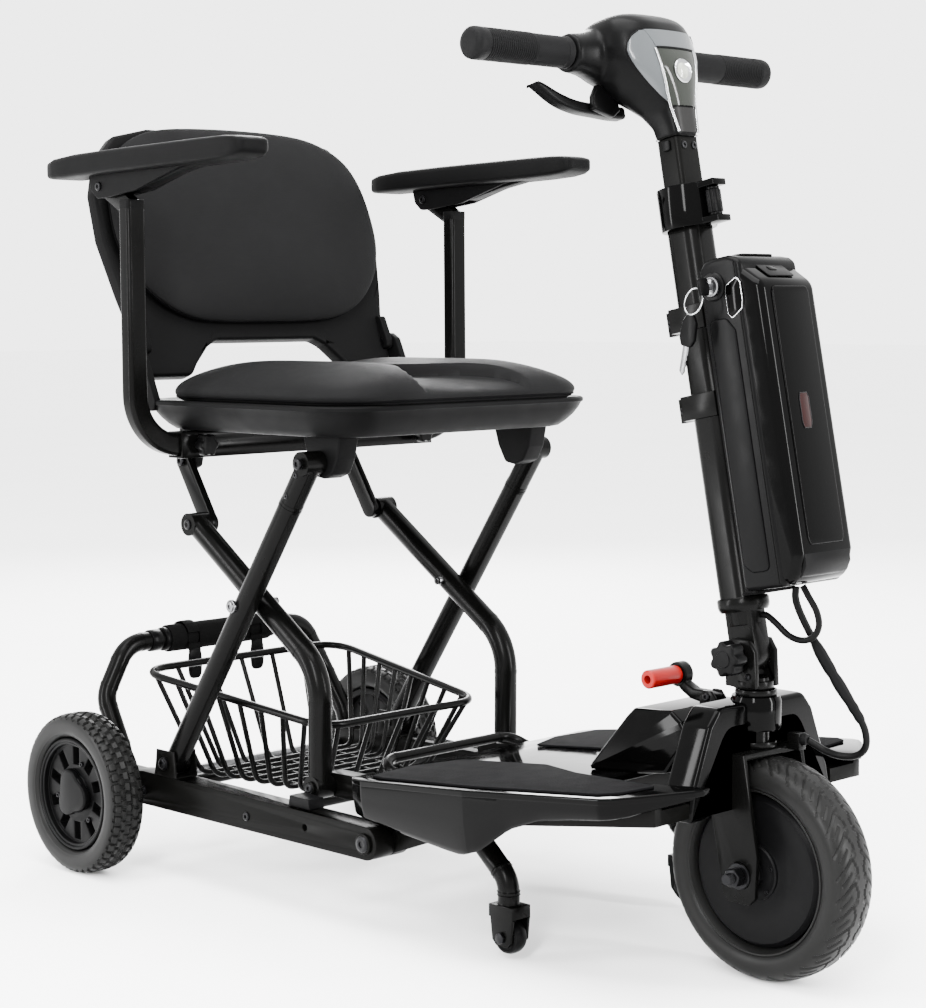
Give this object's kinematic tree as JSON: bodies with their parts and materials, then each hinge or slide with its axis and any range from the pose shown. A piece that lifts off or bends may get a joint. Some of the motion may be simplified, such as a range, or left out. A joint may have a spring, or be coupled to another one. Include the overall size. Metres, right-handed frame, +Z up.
{
  "type": "mobility scooter",
  "caption": "Folding three-wheeled mobility scooter with scissor-frame seat, wire basket, foot deck and battery on the tiller.",
  "frame": {"origin": "on the ground, below the middle of the overall box", "axes": "+X forward, +Y to the rider's left, +Z up"},
  "size_m": [1.103, 0.58, 1.013],
  "materials": {
    "satin_frame": "satin black powder coat",
    "dark_plastic": "fine-grained moulded black",
    "gloss_black": "polished black",
    "deck_grip": "fine non-slip texture",
    "foam_pad": "soft foam sleeve",
    "grip_rubber": "ribbed soft rubber",
    "tyre_rubber": "moulded tread",
    "upholstery": "dark grey coated fabric",
    "zinc_steel": "bright zinc",
    "motor_aluminium": "black anodised",
    "red_grip": "bright red",
    "lamp_clear": "clear over white",
    "cable_black": "smooth jacket",
    "strap_web": "woven webbing"
  },
  "bodies": {
    "deck": {"deck_frame": "satin_frame", "footboard": "gloss_black", "grip_pads": "deck_grip", "centre_cover": "gloss_black", "front_arch": "satin_frame", "lift_bar": "satin_frame", "caster_stems": "satin_frame"},
    "caster_wheel_left": {"caster_left": "dark_plastic"},
    "caster_wheel_right": {"caster_right": "dark_plastic"},
    "rear": {"rear_frame": "satin_frame", "rear_axle": "zinc_steel", "carry_hoop": "satin_frame", "hoop_pad": "foam_pad", "basket": "satin_frame", "basket_straps": "strap_web", "rail_buffers": "grip_rubber", "pivot_bolts": "zinc_steel"},
    "rear_wheel_left": {"rear_rim_left": "dark_plastic", "rear_tyre_left": "tyre_rubber"},
    "rear_wheel_right": {"rear_rim_right": "dark_plastic", "rear_tyre_right": "tyre_rubber"},
    "outer_arms": {"outer_tube_left": "satin_frame", "outer_tube_right": "satin_frame", "crossing_bolts": "zinc_steel"},
    "inner_arms": {"inner_tube_left": "satin_frame", "inner_tube_right": "satin_frame"},
    "links": {"link_left": "satin_frame", "link_right": "satin_frame"},
    "seat": {"seat_base": "dark_plastic", "seat_cushion": "upholstery", "armrest_receiver": "satin_frame"},
    "width_clamp_left": {"width_knob_left": "dark_plastic"},
    "width_clamp_right": {"width_knob_right": "dark_plastic"},
    "backrest": {"back_frame": "dark_plastic", "back_cushion": "upholstery"},
    "arm_left": {"arm_tube_left": "satin_frame"},
    "arm_right": {"arm_tube_right": "satin_frame"},
    "armrest_left": {"arm_pad_left": "dark_plastic"},
    "armrest_right": {"arm_pad_right": "dark_plastic"},
    "steering": {"fork": "satin_frame", "front_axle": "zinc_steel"},
    "front_wheel": {"motor_hub": "motor_aluminium", "front_tyre": "tyre_rubber"},
    "latch": {"fold_lever": "satin_frame", "fold_handle": "red_grip"},
    "tiller": {"tiller_tube": "satin_frame", "battery_dock": "dark_plastic", "clamp_collar": "dark_plastic", "harness_cable": "cable_black", "motor_cable": "cable_black"},
    "fold_clamp": {"tiller_knob": "dark_plastic"},
    "battery": {"battery_pack": "dark_plastic", "battery_shell": "gloss_black"},
    "battery_lock": {"lock_key": "zinc_steel"},
    "height_clamp": {"clamp_roller": "dark_plastic"},
    "mast": {"upper_tube": "satin_frame", "steering_head": "dark_plastic", "handle_grips": "grip_rubber", "headlight": "lamp_clear"},
    "throttle": {"throttle_lever": "dark_plastic"}
  },
  "joints": [
    {"name": "frame_fold", "type": "hinge", "parent": "deck", "child": "rear", "pos_m": [0.0245, 0, 0.107], "axis": [0, -1, 0], "range_deg": [0, 95]},
    {"name": "outer_fold", "type": "hinge", "parent": "rear", "child": "outer_arms", "pos_m": [-0.3455, 0, 0.144], "axis": [0, -1, 0], "range_deg": [-19, 0]},
    {"name": "inner_fold", "type": "hinge", "parent": "deck", "child": "inner_arms", "pos_m": [-0.1075, 0, 0.144], "axis": [0, -1, 0], "range_deg": [0, 144]},
    {"name": "seat_fold", "type": "hinge", "parent": "outer_arms", "child": "seat", "pos_m": [-0.0825, 0, 0.525], "axis": [0, -1, 0], "range_deg": [0, 31.5]},
    {"name": "link_fold", "type": "hinge", "parent": "seat", "child": "links", "pos_m": [-0.3855, 0, 0.512], "axis": [0, -1, 0], "range_deg": [-67, 0]},
    {"name": "tiller_fold", "type": "hinge", "parent": "steering", "child": "tiller", "pos_m": [0.4085, 0, 0.338], "axis": [0, -1, 0], "range_deg": [0, 76.5], "deforming": ["motor_cable"]},
    {"name": "steer", "type": "hinge", "parent": "deck", "child": "steering", "pos_m": [0.4155, 0, 0.25], "axis": [0, 0, 1], "range_deg": [-40, 40]},
    {"name": "front_wheel_spin", "type": "hinge", "parent": "steering", "child": "front_wheel", "pos_m": [0.4345, 0, 0.117], "axis": [0, 1, 0], "continuous": true},
    {"name": "rear_wheel_left_spin", "type": "hinge", "parent": "rear", "child": "rear_wheel_left", "pos_m": [-0.4515, 0.248, 0.1], "axis": [0, 1, 0], "continuous": true},
    {"name": "rear_wheel_right_spin", "type": "hinge", "parent": "rear", "child": "rear_wheel_right", "pos_m": [-0.4515, -0.248, 0.1], "axis": [0, 1, 0], "continuous": true},
    {"name": "caster_left_spin", "type": "hinge", "parent": "deck", "child": "caster_wheel_left", "pos_m": [0.1985, 0.147, 0.027], "axis": [0, 1, 0], "continuous": true},
    {"name": "caster_right_spin", "type": "hinge", "parent": "deck", "child": "caster_wheel_right", "pos_m": [0.1985, -0.147, 0.027], "axis": [0, 1, 0], "continuous": true},
    {"name": "backrest_fold", "type": "hinge", "parent": "seat", "child": "backrest", "pos_m": [-0.3795, 0, 0.655], "axis": [0, 1, 0], "range_deg": [0, 72]},
    {"name": "arm_left_width", "type": "slide", "parent": "seat", "child": "arm_left", "axis": [0, 1, 0], "range_m": [0, 0.04]},
    {"name": "arm_right_width", "type": "slide", "parent": "seat", "child": "arm_right", "axis": [0, -1, 0], "range_m": [0, 0.04]},
    {"name": "width_knob_left_turn", "type": "hinge", "parent": "seat", "child": "width_clamp_left", "pos_m": [-0.2965, 0.178, 0.538], "axis": [1, 0, 0], "range_deg": [0, 360]},
    {"name": "width_knob_right_turn", "type": "hinge", "parent": "seat", "child": "width_clamp_right", "pos_m": [-0.2965, -0.178, 0.538], "axis": [1, 0, 0], "range_deg": [0, 360]},
    {"name": "armrest_left_flip", "type": "hinge", "parent": "arm_left", "child": "armrest_left", "pos_m": [-0.3545, 0.262, 0.846], "axis": [0, -1, 0], "range_deg": [0, 90]},
    {"name": "armrest_right_flip", "type": "hinge", "parent": "arm_right", "child": "armrest_right", "pos_m": [-0.3545, -0.262, 0.846], "axis": [0, -1, 0], "range_deg": [0, 90]},
    {"name": "latch_lift", "type": "hinge", "parent": "deck", "child": "latch", "pos_m": [0.3565, 0, 0.288], "axis": [0, -1, 0], "range_deg": [-25, 0], "stiffness_Nm_per_rad": 0.4},
    {"name": "fold_knob_turn", "type": "hinge", "parent": "steering", "child": "fold_clamp", "pos_m": [0.4085, -0.03, 0.338], "axis": [0, 1, 0], "range_deg": [0, 360]},
    {"name": "battery_lift", "type": "slide", "parent": "tiller", "child": "battery", "axis": [-0.1857, 0, 0.9826], "range_m": [0, 0.035]},
    {"name": "lock_turn", "type": "hinge", "parent": "battery", "child": "battery_lock", "pos_m": [0.39629, -0.05, 0.72038], "axis": [0, 1, 0], "range_deg": [0, 90]},
    {"name": "height_clamp_turn", "type": "hinge", "parent": "tiller", "child": "height_clamp", "pos_m": [0.35858, 0, 0.80688], "axis": [-0.1857, 0, 0.9826], "range_deg": [0, 360]},
    {"name": "mast_height", "type": "slide", "parent": "tiller", "child": "mast", "axis": [-0.1857, 0, 0.9826], "range_m": [-0.045, 0.1]},
    {"name": "throttle_pull", "type": "hinge", "parent": "mast", "child": "throttle", "pos_m": [0.22986, -0.055, 0.91181], "axis": [-0.9826, 0, -0.1857], "range_deg": [0, 9], "stiffness_Nm_per_rad": 0.3}
  ],
  "couplings": [
    {"joint": "outer_fold", "follows": "frame_fold", "ratio": -0.1988},
    {"joint": "inner_fold", "follows": "frame_fold", "ratio": 1.5111},
    {"joint": "seat_fold", "follows": "frame_fold", "ratio": 0.33},
    {"joint": "link_fold", "follows": "frame_fold", "ratio": -0.7003},
    {"joint": "tiller_fold", "follows": "frame_fold", "ratio": 0.8}
  ]
}
